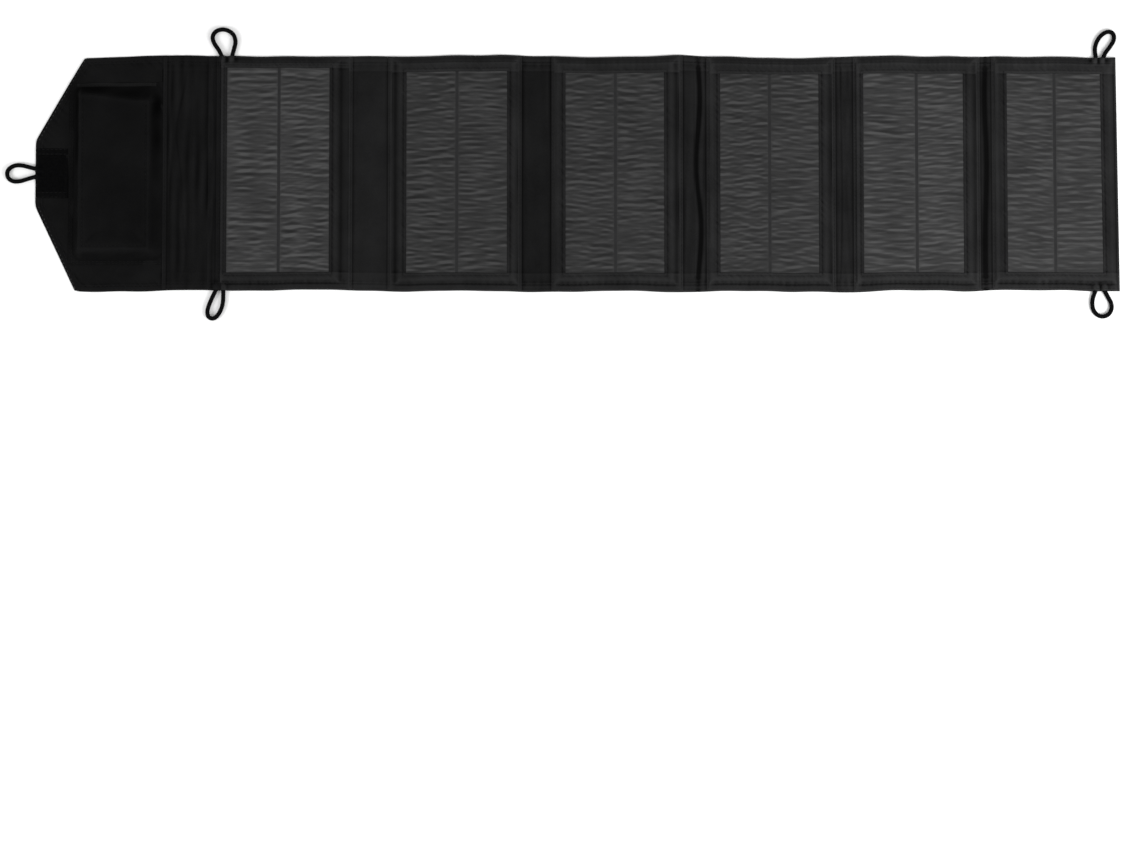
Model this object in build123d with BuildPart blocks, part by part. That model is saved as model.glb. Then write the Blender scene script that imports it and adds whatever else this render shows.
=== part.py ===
from build123d import *
from math import radians, tan
import os

os.makedirs("parts", exist_ok=True)

# A folding solar blanket, opened flat and face up on a table. +X runs from the flap's tip to the
# last panel's free edge, +Y across the panels and +Z up from the back cloth. Millimetres.

# Overall plan
length = 872
width = 190
flap_length = 106.4
spine_lengths = [38.5, 27.2, 22.4, 17.6, 12.9, 8]
outer_panel = 111.1
nest_step = 1.9
free_edge_step = 1
fold_gap = 0.3

# Layers, counted up from the back
cloth = 0.45
fold_height = 2 * cloth
board_top = 1.75
cell_top = 2.0
film_bottom = 2.1
film_top = 2.5
panel_top = 3.0

# Solar windows
window_width = 81.5
window_height = 163.4
window_rise = 1.2
window_margins = [10.5, 15.5, 11, 10.2, 8.1, 9.7]
laminate_edge = 4
cell_columns = 2
cell_rows = 6
column_gap = 2.4
row_gap = 0.8
tab_width = 14

# Flat conductors that join one panel to the next
ribbon_width = 3
ribbon_height = 0.2
ribbon_clearance = 0.1
plus_y = -89
minus_y = 90.5

# Flap, its pocket and its closing patch
tip_height = 53.4
shoulder = 36.5
corner_radius = 3
pocket_cloth = 0.6
pocket_flange = (27, 105.4, -74, 74)
pocket_base = (31, 101, -70, 72)
pocket_roof = (37.5, 93, -62, 57)
pocket_top = 10.5
pocket_corner = 5
patch_length = 26
patch_height = 40
patch_thickness = 1.2
mating_patch_offset = 3
tape_length = 34
tape_depth = 8
tape_thickness = 0.6
tape_y = 50

# Regulator in the pocket
case_x = 66
case_y = 16
case_width = 27
case_length = 52
case_bottom = 1.0
case_split = 5.2
case_top = 9.4
case_wall = 1.2
case_corner = 2.5
pcb_bottom = 3.2
pcb_top = 4.4
socket_width = 13.2
socket_height = 5.7
socket_length = 13.8
socket_wall = 0.4
tongue_width = 11.2
tongue_thickness = 1.8
post_diameter = 4.4
screw_diameter = 1.8
screw_head_diameter = 3.4
screw_head_height = 1.1
screw_spread = 19.4

# Elastic cord loops
cord_diameter = 3.5

half_width = width / 2
case_front = case_y + case_length / 2
case_back = case_y - case_length / 2
window_bottom = window_rise - window_height / 2
window_top = window_rise + window_height / 2

panel_widths = [outer_panel - nest_step * place for place in range(5)]
panel_widths.append(panel_widths[-1] - free_edge_step)


def from_tip(x):
    """A distance from the flap's tip as a place along +X."""
    return x - length / 2


def block(x_range, y_range, z_range, mode=Mode.ADD):
    """A square-cornered block in the part being made, by the places of its faces."""
    sizes = [high - low for low, high in (x_range, y_range, z_range)]
    middle = [(high + low) / 2 for low, high in (x_range, y_range, z_range)]
    with Locations(tuple(middle)):
        Box(*sizes, mode=mode)


def around(middle, size):
    """The range of a given size about a middle."""
    return (middle - size / 2, middle + size / 2)


def keep(builder, name):
    """Label a finished piece and write it as its own file."""
    builder.part.label = name
    export_step(builder.part, f"parts/{name}.step")


# Fold lines, from the flap to the last panel
fold_lines = []
reach = flap_length
for spine_length, panel_width in zip(spine_lengths, panel_widths):
    fold_lines.append((from_tip(reach), from_tip(reach + spine_length)))
    reach += spine_length + panel_width
panel_ends = [spine_end for spine_start, spine_end in fold_lines]
panel_starts = [spine_start for spine_start, spine_end in fold_lines[1:]] + [from_tip(reach)]


# Panels: a back cover, a stiff board, a string of cells, a clear film and a cloth frame over the film
for number in range(1, 7):
    left = panel_ends[number - 1] + fold_gap
    last = number == 6
    right = panel_starts[number - 1] - (0 if last else fold_gap)
    window_left = panel_ends[number - 1] + window_margins[number - 1]
    window_x = (window_left, window_left + window_width)
    window_y = (window_bottom, window_top)
    laminate_x = (window_x[0] - laminate_edge, window_x[1] + laminate_edge)
    laminate_y = (window_y[0] - laminate_edge, window_y[1] + laminate_edge)
    tab_x = around(sum(window_x) / 2, tab_width)
    patch_start = panel_ends[number - 1] + mating_patch_offset
    patch_x = (patch_start, patch_start + patch_length)

    with BuildPart() as back_cover:
        block((left, right), (-half_width, half_width), (0, cloth))
        if number == 2:
            block(patch_x, around(0, patch_height), (0, cloth), mode=Mode.SUBTRACT)
        if last:
            free_corners = back_cover.edges().filter_by(Axis.Z).group_by(Axis.X)[-1]
            fillet(free_corners, corner_radius)
    keep(back_cover, f"panel_{number}_back_cover")

    with BuildPart() as board:
        block(laminate_x, laminate_y, (cloth, board_top))
        fillet(board.edges().filter_by(Axis.Z), 2)
    keep(board, f"panel_{number}_board")

    # Twelve cells in two columns, joined end to end, with a flat lead down to each edge of the panel
    cell_width = (window_width - column_gap) / cell_columns
    cell_height = (window_height - (cell_rows - 1) * row_gap) / cell_rows
    with BuildPart() as cells:
        with Locations((sum(window_x) / 2, window_rise, (board_top + cell_top) / 2)):
            cell_pitch = (cell_width + column_gap, cell_height + row_gap)
            with GridLocations(*cell_pitch, cell_columns, cell_rows):
                Box(cell_width, cell_height, cell_top - board_top)
            with GridLocations(*cell_pitch, cell_columns, cell_rows - 1):
                Box(tab_width, row_gap, ribbon_height)
        for lead_y, edge_y, inward in ((plus_y, laminate_y[0], 1), (minus_y, laminate_y[1], -1)):
            lead_low = (cloth, cloth + ribbon_height)
            leg_y = sorted((edge_y - inward * 0.1, edge_y - inward * (0.1 + ribbon_height)))
            foot_y = sorted((leg_y[0], lead_y))
            block((left, right - (laminate_edge if last else 0)), around(lead_y, ribbon_width), lead_low)
            block(tab_x, foot_y, lead_low)
            block(tab_x, leg_y, (cloth, cell_top))
            block(tab_x, sorted((leg_y[0], edge_y + inward * laminate_edge)), (board_top, cell_top))
    keep(cells, f"panel_{number}_cells")

    with BuildPart() as film:
        block(laminate_x, laminate_y, (film_bottom, film_top))
        fillet(film.edges().filter_by(Axis.Z), 2)
    keep(film, f"panel_{number}_film")

    with BuildPart() as front_frame:
        block((left, right), (-half_width, half_width), (cloth, panel_top))
        if last:
            free_corners = front_frame.edges().filter_by(Axis.Z).group_by(Axis.X)[-1]
            fillet(free_corners, corner_radius)
        block(laminate_x, laminate_y, (cloth, film_top), mode=Mode.SUBTRACT)
        block(window_x, window_y, (film_top, panel_top), mode=Mode.SUBTRACT)
        for lead_y, edge_y, inward in ((plus_y, laminate_y[0], 1), (minus_y, laminate_y[1], -1)):
            groove_z = (cloth, cloth + ribbon_height + ribbon_clearance)
            groove_x = (left, right - (laminate_edge if last else 0))
            slot_x = around(sum(window_x) / 2, tab_width + 2 * ribbon_clearance)
            slot_y = sorted((edge_y, edge_y - inward * 0.5))
            block(groove_x, around(lead_y, ribbon_width + 2 * ribbon_clearance), groove_z, Mode.SUBTRACT)
            block(slot_x, sorted((edge_y, lead_y)), groove_z, Mode.SUBTRACT)
            block(slot_x, slot_y, (cloth, film_bottom), Mode.SUBTRACT)
    keep(front_frame, f"panel_{number}_front_frame")

    if number == 2:
        with BuildPart() as loop_patch:
            block(patch_x, around(0, patch_height), (0, cloth))
        keep(loop_patch, "panel_2_loop_patch")


# Spines: the two cloths between one stiff panel and the next, with the flat conductors between them
for number, (start, end) in enumerate(fold_lines):
    spine_x = (start + fold_gap, end - fold_gap)
    with BuildPart() as outer_cloth:
        block(spine_x, (-half_width, half_width), (0, cloth))
    with BuildPart() as inner_cloth:
        block(spine_x, (-half_width, half_width), (cloth, fold_height))
        for lead_y in (plus_y, minus_y):
            groove_z = (cloth, cloth + ribbon_height + ribbon_clearance)
            block(spine_x, around(lead_y, ribbon_width + 2 * ribbon_clearance), groove_z, Mode.SUBTRACT)
    spine_fabric = Compound(children=[outer_cloth.part, inner_cloth.part])
    spine_fabric.label = f"spine_{number}_fabric"
    export_step(spine_fabric, f"parts/spine_{number}_fabric.step")

    with BuildPart() as wires:
        for lead_y in (plus_y, minus_y):
            block(spine_x, around(lead_y, ribbon_width), (cloth, cloth + ribbon_height))
    keep(wires, f"spine_{number}_wires")


# Flap: two cloths cut to a blunt point
flap_end = from_tip(flap_length) - fold_gap
tip = from_tip(0)
with BuildSketch() as flap_outline:
    with BuildLine():
        Polyline(
            (tip, -tip_height / 2),
            (tip + shoulder, -half_width),
            (flap_end, -half_width),
            (flap_end, half_width),
            (tip + shoulder, half_width),
            (tip, tip_height / 2),
            close=True,
        )
    make_face()
    fillet(flap_outline.vertices().group_by(Axis.X)[0], corner_radius)
    fillet(flap_outline.vertices().filter_by(lambda corner: abs(corner.X - tip - shoulder) < 1), 6)

with BuildPart() as flap_back_cover:
    add(flap_outline.sketch)
    extrude(amount=cloth)
keep(flap_back_cover, "flap_back_cover")

# The charging lead: two flat conductors between the flap's cloths, rising into the regulator's end
lead_z = (cloth, cloth + ribbon_height)
lead_rise_y = case_back - 2.6
lead_top_z = (pcb_bottom - ribbon_height, pcb_bottom)
lead_paths = ((plus_y, from_tip(case_x - 4)), (minus_y, from_tip(case_x + 4)))
with BuildPart() as charge_lead:
    for lead_y, lead_x in lead_paths:
        outside = lead_y - ribbon_width / 2 if lead_y < 0 else lead_y + ribbon_width / 2
        block((lead_x - ribbon_width / 2, flap_end), around(lead_y, ribbon_width), lead_z)
        block(around(lead_x, ribbon_width), sorted((outside, lead_rise_y)), lead_z)
        block(around(lead_x, ribbon_width), (lead_rise_y, lead_rise_y + ribbon_height), (cloth, pcb_bottom))
        block(around(lead_x, ribbon_width), (lead_rise_y, case_back + 3), lead_top_z)
keep(charge_lead, "charge_lead_flap")

with BuildPart() as flap_lining:
    add(flap_outline.sketch.moved(Location((0, 0, cloth))))
    extrude(amount=cloth)
    groove_z = (cloth, cloth + ribbon_height + ribbon_clearance)
    groove_width = ribbon_width + 2 * ribbon_clearance
    for lead_y, lead_x in lead_paths:
        outside = lead_y - groove_width / 2 if lead_y < 0 else lead_y + groove_width / 2
        block((lead_x - groove_width / 2, flap_end), around(lead_y, groove_width), groove_z, Mode.SUBTRACT)
        block(around(lead_x, groove_width), sorted((outside, lead_rise_y)), groove_z, Mode.SUBTRACT)
        slot_y = (lead_rise_y - ribbon_clearance, lead_rise_y + ribbon_height + ribbon_clearance)
        block(around(lead_x, groove_width), slot_y, (cloth, fold_height), Mode.SUBTRACT)
keep(flap_lining, "flap_lining")


def rounded_plan(x_low, x_high, y_low, y_high, radius):
    """A rounded rectangle by its faces' distances from the flap's tip and from the middle."""
    with Locations((from_tip((x_low + x_high) / 2), (y_low + y_high) / 2)):
        RectangleRounded(x_high - x_low, y_high - y_low, radius)


# Pocket: a boxed pouch sewn to the lining on three sides, its mouth toward +Y
with BuildPart() as pocket_pouch:
    with BuildSketch(Plane.XY.offset(fold_height)):
        rounded_plan(*pocket_flange, corner_radius)
    extrude(amount=cloth)
    with BuildSketch(Plane.XY.offset(fold_height)):
        rounded_plan(*pocket_base, pocket_corner)
    with BuildSketch(Plane.XY.offset(pocket_top)):
        rounded_plan(*pocket_roof, pocket_corner)
    loft()
    with BuildSketch(Plane.XY.offset(fold_height)) as inner_floor:
        rounded_plan(
            pocket_base[0] + pocket_cloth,
            pocket_base[1] - pocket_cloth,
            pocket_base[2] + pocket_cloth,
            half_width,
            pocket_corner - pocket_cloth,
        )
    with BuildSketch(Plane.XY.offset(pocket_top - pocket_cloth)) as inner_ceiling:
        rounded_plan(
            pocket_roof[0] + pocket_cloth,
            pocket_roof[1] - pocket_cloth,
            pocket_roof[2] + pocket_cloth,
            half_width,
            pocket_corner - pocket_cloth,
        )
    loft(sections=[inner_floor.sketch, inner_ceiling.sketch], mode=Mode.SUBTRACT)
keep(pocket_pouch, "pocket_pouch")

with BuildPart() as hook_patch:
    with BuildSketch(Plane.XY.offset(fold_height)):
        with Locations((from_tip(patch_length / 2) + fold_gap, 0)):
            RectangleRounded(patch_length, patch_height, 1.5)
    extrude(amount=patch_thickness)
keep(hook_patch, "tip_hook_patch")

with BuildPart() as mouth_tapes:
    tape_x = around(from_tip(case_x - 3), tape_length)
    block(tape_x, around(tape_y, tape_depth), (fold_height, fold_height + tape_thickness))
    roof_inside = pocket_top - pocket_cloth
    block(tape_x, around(tape_y, tape_depth), (roof_inside - tape_thickness, roof_inside))
keep(mouth_tapes, "pocket_mouth_tapes")


# Regulator: a two-part case round a small board that carries the USB socket
regulator_x = from_tip(case_x)
socket_middle = (pcb_bottom + pcb_top) / 2 + 1.4
socket_z = around(socket_middle, socket_height)
socket_y = (case_front - socket_length, case_front)
socket_x = around(regulator_x, socket_width)
screw_places = [(regulator_x + side * screw_spread / 2, case_back + 4) for side in (-1, 1)]
entry_z = (lead_top_z[0] - ribbon_clearance, lead_top_z[1] + ribbon_clearance)


def case_opening():
    """The socket's hole through the case's front wall."""
    socket_hole_x = around(regulator_x, socket_width + 0.2)
    socket_hole_z = around(socket_middle, socket_height + 0.2)
    block(socket_hole_x, (case_front - case_wall - 0.1, case_front), socket_hole_z, Mode.SUBTRACT)


def case_sketch(inset):
    """The case's plan, or its inside when inset by the wall."""
    with Locations((regulator_x, case_y)):
        RectangleRounded(case_width - 2 * inset, case_length - 2 * inset, case_corner - inset)


with BuildPart() as case_base:
    with BuildSketch(Plane.XY.offset(case_bottom)):
        case_sketch(0)
    extrude(amount=case_split - case_bottom)
    fillet(case_base.faces().sort_by(Axis.Z)[0].edges(), 0.8)
    with BuildSketch(Plane.XY.offset(case_bottom + case_wall)):
        case_sketch(case_wall)
    extrude(amount=case_split - case_bottom - case_wall, mode=Mode.SUBTRACT)
    with BuildSketch(Plane.XY.offset(case_bottom + case_wall)):
        with Locations(*screw_places):
            Circle(post_diameter / 2)
    extrude(amount=case_split - case_bottom - case_wall)
    for side in (-1, 1):
        rib_x = around(regulator_x + side * (case_width / 2 - case_wall - 0.6), 1.2)
        block(rib_x, (case_back + 8, case_front - 16), (case_bottom + case_wall, pcb_bottom))
    with Locations(*[(x, y, case_split) for x, y in screw_places]):
        Hole(screw_diameter / 2, depth=case_split - case_bottom - case_wall)
    case_opening()
    for lead_y, lead_x in lead_paths:
        entry_y = (case_back, case_back + case_wall + 0.1)
        block(around(lead_x, ribbon_width + 2 * ribbon_clearance), entry_y, entry_z, Mode.SUBTRACT)
keep(case_base, "regulator_case_base")

with BuildPart() as case_lid:
    with BuildSketch(Plane.XY.offset(case_split)):
        case_sketch(0)
    extrude(amount=case_top - case_split)
    fillet(case_lid.faces().sort_by(Axis.Z)[-1].edges(), 0.8)
    with BuildSketch(Plane.XY.offset(case_split)):
        case_sketch(case_wall)
    extrude(amount=case_top - case_split - case_wall, mode=Mode.SUBTRACT)
    with BuildSketch(Plane.XY.offset(case_split)):
        with Locations(*screw_places):
            Circle(post_diameter / 2)
    extrude(amount=case_top - case_split - case_wall)
    with Locations(*[(x, y, case_top) for x, y in screw_places]):
        CounterBoreHole(screw_diameter / 2, screw_head_diameter / 2 + 0.1, screw_head_height + 0.1)
    case_opening()
keep(case_lid, "regulator_case_lid")

with BuildPart() as regulator_board:
    pcb_x = around(regulator_x, case_width - 2 * case_wall - 0.6)
    pcb_y = (case_back + case_wall + 0.5, case_front - case_wall - 0.5)
    block(pcb_x, pcb_y, (pcb_bottom, pcb_top))
    with BuildSketch(Plane.XY.offset(pcb_bottom)):
        with Locations(*screw_places):
            Circle(post_diameter / 2 + 0.3)
    extrude(amount=pcb_top - pcb_bottom, mode=Mode.SUBTRACT)
    notch_y = (socket_y[0] - 0.2, pcb_y[1])
    block(around(regulator_x, socket_width + 0.4), notch_y, (pcb_bottom, pcb_top), Mode.SUBTRACT)
    with BuildSketch(Plane.XY.offset(pcb_top)):
        with Locations((regulator_x - 4.5, case_y + 2)):
            RectangleRounded(8, 8, 1.6)
    extrude(amount=3.2)
    block(around(regulator_x + 6, 5), around(case_y + 6, 4), (pcb_top, pcb_top + 1.3))
    block(around(regulator_x + 6, 3.2), around(case_y - 2, 1.6), (pcb_top, pcb_top + 1.2))
    block(around(regulator_x + 6, 3.2), around(case_y - 5, 1.6), (pcb_top, pcb_top + 1.2))
    with BuildSketch(Plane.XY.offset(pcb_top)):
        with Locations((regulator_x + 1, case_y - 10)):
            Circle(2.5)
    extrude(amount=3.4)
    block(around(regulator_x - 10.2, 1.6), around(case_y + 9, 0.9), (pcb_top, pcb_top + 0.7))
keep(regulator_board, "regulator_board")

with BuildPart() as usb_socket:
    block(socket_x, socket_y, socket_z)
    fillet(usb_socket.edges().filter_by(Axis.Y), 0.5)
    inside_x = around(regulator_x, socket_width - 2 * socket_wall)
    inside_z = around(socket_middle, socket_height - 2 * socket_wall)
    block(inside_x, (socket_y[0] + socket_wall, socket_y[1]), inside_z, Mode.SUBTRACT)
keep(usb_socket, "usb_socket")

with BuildPart() as usb_tongue:
    root_x = around(regulator_x, socket_width - 2 * socket_wall)
    root_y = (socket_y[0] + socket_wall, socket_y[0] + socket_wall + 2.5)
    block(root_x, root_y, around(socket_middle, socket_height - 2 * socket_wall))
    tongue_z = (socket_middle + 0.5, socket_middle + 0.5 + tongue_thickness)
    block(around(regulator_x, tongue_width), (root_y[0], socket_y[1] - 2), tongue_z)
keep(usb_tongue, "usb_tongue")

with BuildPart() as screws:
    head_bottom = case_top - screw_head_height
    with BuildSketch(Plane.XY.offset(head_bottom)):
        with Locations(*screw_places):
            Circle(screw_head_diameter / 2)
    extrude(amount=screw_head_height)
    with BuildSketch(Plane.XY.offset(case_bottom + case_wall + 0.6)):
        with Locations(*screw_places):
            Circle(screw_diameter / 2)
    extrude(amount=head_bottom - case_bottom - case_wall - 0.6)
    with BuildSketch(Plane.XY.offset(case_top)):
        with Locations(*screw_places):
            Rectangle(2.2, 0.5)
            Rectangle(0.5, 2.2)
    extrude(amount=-0.6, mode=Mode.SUBTRACT)
keep(screws, "regulator_screws")


# Cord loops: each leaves the edge seam, goes round and returns to the seam. A route is given in the
# edge's own plane, along the edge and out from it, starting and ending just inside the seam.
loops = {
    "loop_flap_tip": (
        (tip, 0), (0, 1, 0),
        [(3.4, -1.2), (4.8, 4.6), (6.6, 11), (6.2, 17.6), (2.4, 22.4), (-3, 22.4), (-6.6, 18.6),
         (-6.8, 12.6), (-4.6, 6), (-2.6, -1.2)],
    ),
    "loop_near_left": (
        (panel_ends[0] + 4.5, -half_width), (-1, 0, 0),
        [(-2.6, -1.2), (-2.9, 5), (-2.2, 12), (0.6, 18.6), (4.8, 22.8), (9.4, 21.2), (10.2, 15.8),
         (7.6, 8.2), (3, -1.2)],
    ),
    "loop_far_left": (
        (panel_ends[0] + 7.5, half_width), (1, 0, 0),
        [(-2.2, -1.2), (-4.6, 4.4), (-9.2, 10.4), (-10.8, 16.4), (-6.8, 21.4), (0.8, 21.8), (6.8, 18),
         (8.6, 11.6), (6.8, 5), (5.2, -1.2)],
    ),
    "loop_near_right": (
        (from_tip(855.9), -half_width), (-1, 0, 0),
        [(-3.2, -1.2), (-6.4, 4.8), (-9.6, 10.6), (-9, 16.8), (-4.4, 20.8), (1.4, 20.4), (5.6, 15.8),
         (6.4, 9.4), (5.2, 3.8), (3, -1.2)],
    ),
    "loop_far_right": (
        (from_tip(857.6), half_width), (1, 0, 0),
        [(-3, -1.2), (-4, 4), (-3, 10.4), (0.8, 16.6), (6.2, 20.2), (11.4, 19), (12.2, 13.4),
         (8.4, 7.4), (4.6, 2.8), (2.9, -1.2)],
    ),
}
for name, ((base_x, base_y), along_edge, route) in loops.items():
    edge_plane = Plane(origin=(base_x, base_y, cord_diameter / 2), x_dir=along_edge, z_dir=(0, 0, 1))
    points = [edge_plane.from_local_coords((along, out, 0)) for along, out in route]
    runs = [after - before for before, after in zip(points, points[1:])]
    radii = []
    for before, after in zip(runs, runs[1:]):
        turn = radians(before.get_angle(after))
        radii.append(0.45 * min(before.length, after.length) / tan(turn / 2))
    with BuildPart() as cord_loop:
        with BuildLine() as path:
            FilletPolyline(*points, radius=radii)
        with BuildSketch(Plane(origin=path.line @ 0, z_dir=path.line % 0)):
            Circle(cord_diameter / 2)
        sweep()
        split(bisect_by=Plane(origin=edge_plane.origin, z_dir=edge_plane.y_dir), keep=Keep.TOP)
    keep(cord_loop, name)
    print(name, "length", round(path.wire().length, 1), "radii", [round(radius, 1) for radius in radii])
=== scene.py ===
import math

import bpy
import numpy as np
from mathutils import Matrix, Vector


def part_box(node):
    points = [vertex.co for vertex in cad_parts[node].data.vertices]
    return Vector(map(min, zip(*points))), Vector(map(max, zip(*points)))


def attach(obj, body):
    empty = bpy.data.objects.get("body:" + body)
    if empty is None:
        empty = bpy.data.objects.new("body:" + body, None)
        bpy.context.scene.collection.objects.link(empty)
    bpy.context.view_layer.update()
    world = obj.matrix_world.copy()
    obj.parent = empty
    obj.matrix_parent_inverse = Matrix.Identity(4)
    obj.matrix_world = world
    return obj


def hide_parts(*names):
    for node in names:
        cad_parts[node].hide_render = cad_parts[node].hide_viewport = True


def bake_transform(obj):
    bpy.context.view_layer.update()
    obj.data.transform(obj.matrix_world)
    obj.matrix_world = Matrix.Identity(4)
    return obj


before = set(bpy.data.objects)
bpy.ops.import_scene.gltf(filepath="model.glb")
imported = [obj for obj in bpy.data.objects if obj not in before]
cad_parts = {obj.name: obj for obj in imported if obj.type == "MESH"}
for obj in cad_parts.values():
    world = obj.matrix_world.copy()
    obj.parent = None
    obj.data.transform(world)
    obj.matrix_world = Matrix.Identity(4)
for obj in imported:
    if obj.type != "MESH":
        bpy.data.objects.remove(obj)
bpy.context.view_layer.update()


# ---- Camera ----
# The blanket lies open on a table and is seen from almost straight above, a little from its near
# side, so that it fills the upper third of the picture.
lens = bpy.data.cameras.new("studio_camera")
lens.sensor_width = 36
lens.lens = 63.16
camera = bpy.data.objects.new("studio_camera", lens)
camera.location = (-0.0055, -0.2677, 1.602)
camera.rotation_euler = (math.radians(2.253), 0, 0)
bpy.context.scene.collection.objects.link(camera)
bpy.context.scene.camera = camera


# ---- Table and light ----
# A pale table under a white surround. One softbox stands over the near side by the blanket's free
# end, which it brightens, and a lower one stands off the flap and shades the pocket's far sides.
def add_node(tree, kind, inputs=None, **settings):
    """A shader node with its settings, its fixed values and its links."""
    node = tree.nodes.new(kind)
    for name, value in settings.items():
        setattr(node, name, value)
    for socket, value in (inputs or {}).items():
        if isinstance(value, bpy.types.NodeSocket):
            tree.links.new(value, node.inputs[socket])
        else:
            node.inputs[socket].default_value = value
    return node


def new_finish(name, **values):
    """A material with one surface shader, and that shader's fixed values."""
    material = bpy.data.materials.new(name)
    material.use_nodes = True
    shader = material.node_tree.nodes["Principled BSDF"]
    for socket, value in values.items():
        shader.inputs[socket.replace("_", " ")].default_value = value
    return material, material.node_tree, shader


bpy.context.scene.view_settings.view_transform = "Standard"
surround = bpy.data.worlds.new("studio_surround")
surround.use_nodes = True
surround.node_tree.nodes["Background"].inputs["Color"].default_value = (1, 1, 1, 1)
surround.node_tree.nodes["Background"].inputs["Strength"].default_value = 0.65
bpy.context.scene.world = surround

bpy.ops.mesh.primitive_plane_add(size=14, location=(0, 0, -0.0002))
table = bpy.context.object
table.name = "studio_table"
pale = new_finish("pale_table", Base_Color=(0.95, 0.95, 0.95, 1), Roughness=0.85)[0]
table.data.materials.append(pale)

softboxes = {
    "softbox_free_end": ((0.85, -0.62, 0.9), (0.2, 0, 0), 0.6, 14),
    "softbox_flap_end": ((-1.3, -0.55, 0.9), (-0.37, 0, 0), 0.4, 9),
}
for name, (place, aim, size, power) in softboxes.items():
    light = bpy.data.lights.new(name, "AREA")
    light.size = size
    light.energy = power
    softbox = bpy.data.objects.new(name, light)
    softbox.location = place
    softbox.rotation_euler = (Vector(aim) - softbox.location).to_track_quat("-Z", "Y").to_euler()
    bpy.context.scene.collection.objects.link(softbox)


# ---- Elastic cord loops ----
# Five loops of 3.5 mm elastic cord, a braided sheath over rubber strands. Both ends of each are
# caught in the edge seam, and the loop lies flat on the table outside it.
mm = 0.001
cord_radius = 1.75 * mm
braid_depth = 0.13 * mm
braid_strands = 7
braid_turn = 3.1 * mm
ring_step = 0.28 * mm
ring_sides = 42

tip_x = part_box("flap_back_cover")[0].x
far_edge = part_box("panel_1_back_cover")[1].y
near_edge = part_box("panel_1_back_cover")[0].y
flap_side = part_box("panel_1_back_cover")[0].x

loops = {
    "loop_flap_tip": (
        "flap", (tip_x, 0), (0, 1), (-1, 0),
        [(3.4, -1.2), (4.8, 4.6), (6.6, 11), (6.2, 17.6), (2.4, 22.4), (-3, 22.4), (-6.6, 18.6),
         (-6.8, 12.6), (-4.6, 6), (-2.6, -1.2)],
    ),
    "loop_near_left": (
        "panel_1", (flap_side + 4.2 * mm, near_edge), (-1, 0), (0, -1),
        [(-2.6, -1.2), (-2.9, 5), (-2.2, 12), (0.6, 18.6), (4.8, 22.8), (9.4, 21.2), (10.2, 15.8),
         (7.6, 8.2), (3, -1.2)],
    ),
    "loop_far_left": (
        "panel_1", (flap_side + 7.2 * mm, far_edge), (1, 0), (0, 1),
        [(-2.2, -1.2), (-4.6, 4.4), (-9.2, 10.4), (-10.8, 16.4), (-6.8, 21.4), (0.8, 21.8),
         (6.8, 18), (8.6, 11.6), (6.8, 5), (5.2, -1.2)],
    ),
    "loop_near_right": (
        "panel_6", (tip_x + 855.9 * mm, near_edge), (-1, 0), (0, -1),
        [(-3.2, -1.2), (-6.4, 4.8), (-9.6, 10.6), (-9, 16.8), (-4.4, 20.8), (1.4, 20.4), (5.6, 15.8),
         (6.4, 9.4), (5.2, 3.8), (3, -1.2)],
    ),
    "loop_far_right": (
        "panel_6", (tip_x + 857.6 * mm, far_edge), (1, 0), (0, 1),
        [(-3, -1.2), (-4, 4), (-3, 10.4), (0.8, 16.6), (6.2, 20.2), (11.4, 19), (12.2, 13.4),
         (8.4, 7.4), (4.6, 2.8), (2.9, -1.2)],
    ),
}


def smooth_line(name, places):
    """Evenly spaced points on the smooth curve that a cord's route controls, and the curve's length."""
    curve = bpy.data.curves.new(name, "CURVE")
    curve.dimensions = "3D"
    curve.resolution_u = 24
    spline = curve.splines.new("NURBS")
    spline.points.add(len(places) - 1)
    for point, place in zip(spline.points, places):
        point.co = (*place, 1)
    spline.order_u = 3
    spline.use_endpoint_u = True
    holder = bpy.data.objects.new(name, curve)
    line = bpy.data.meshes.new_from_object(holder)
    points = np.array([vertex.co for vertex in line.vertices])
    bpy.data.objects.remove(holder)
    walked = np.concatenate([[0], np.cumsum(np.linalg.norm(np.diff(points, axis=0), axis=1))])
    evenly = np.linspace(0, walked[-1], round(walked[-1] / ring_step))
    spread = np.stack([np.interp(evenly, walked, points[:, axis]) for axis in range(3)], axis=1)
    return spread, evenly, walked[-1]


def make_piece(name, places, faces, materials, sharp=50):
    """A mesh object from its points and faces, smooth-shaded except at corners sharper than an angle."""
    mesh = bpy.data.meshes.new(name)
    mesh.from_pydata(np.asarray(places).tolist(), [], [list(face) for face in faces])
    for material in materials:
        mesh.materials.append(material)
    mesh.shade_smooth()
    mesh.set_sharp_from_angle(angle=math.radians(sharp))
    piece = bpy.data.objects.new(name, mesh)
    bpy.context.scene.collection.objects.link(piece)
    return piece


def tube_faces(rings, sides):
    """The walls and both ends of a tube, from how many rings of points it has and how many in each."""
    index = np.arange(rings * sides).reshape(rings, sides)
    after = np.roll(index, -1, axis=1)
    walls = np.stack([index[:-1], after[:-1], after[1:], index[1:]], axis=-1).reshape(-1, 4)
    return walls.tolist() + [index[0][::-1].tolist(), index[-1].tolist()]


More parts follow.
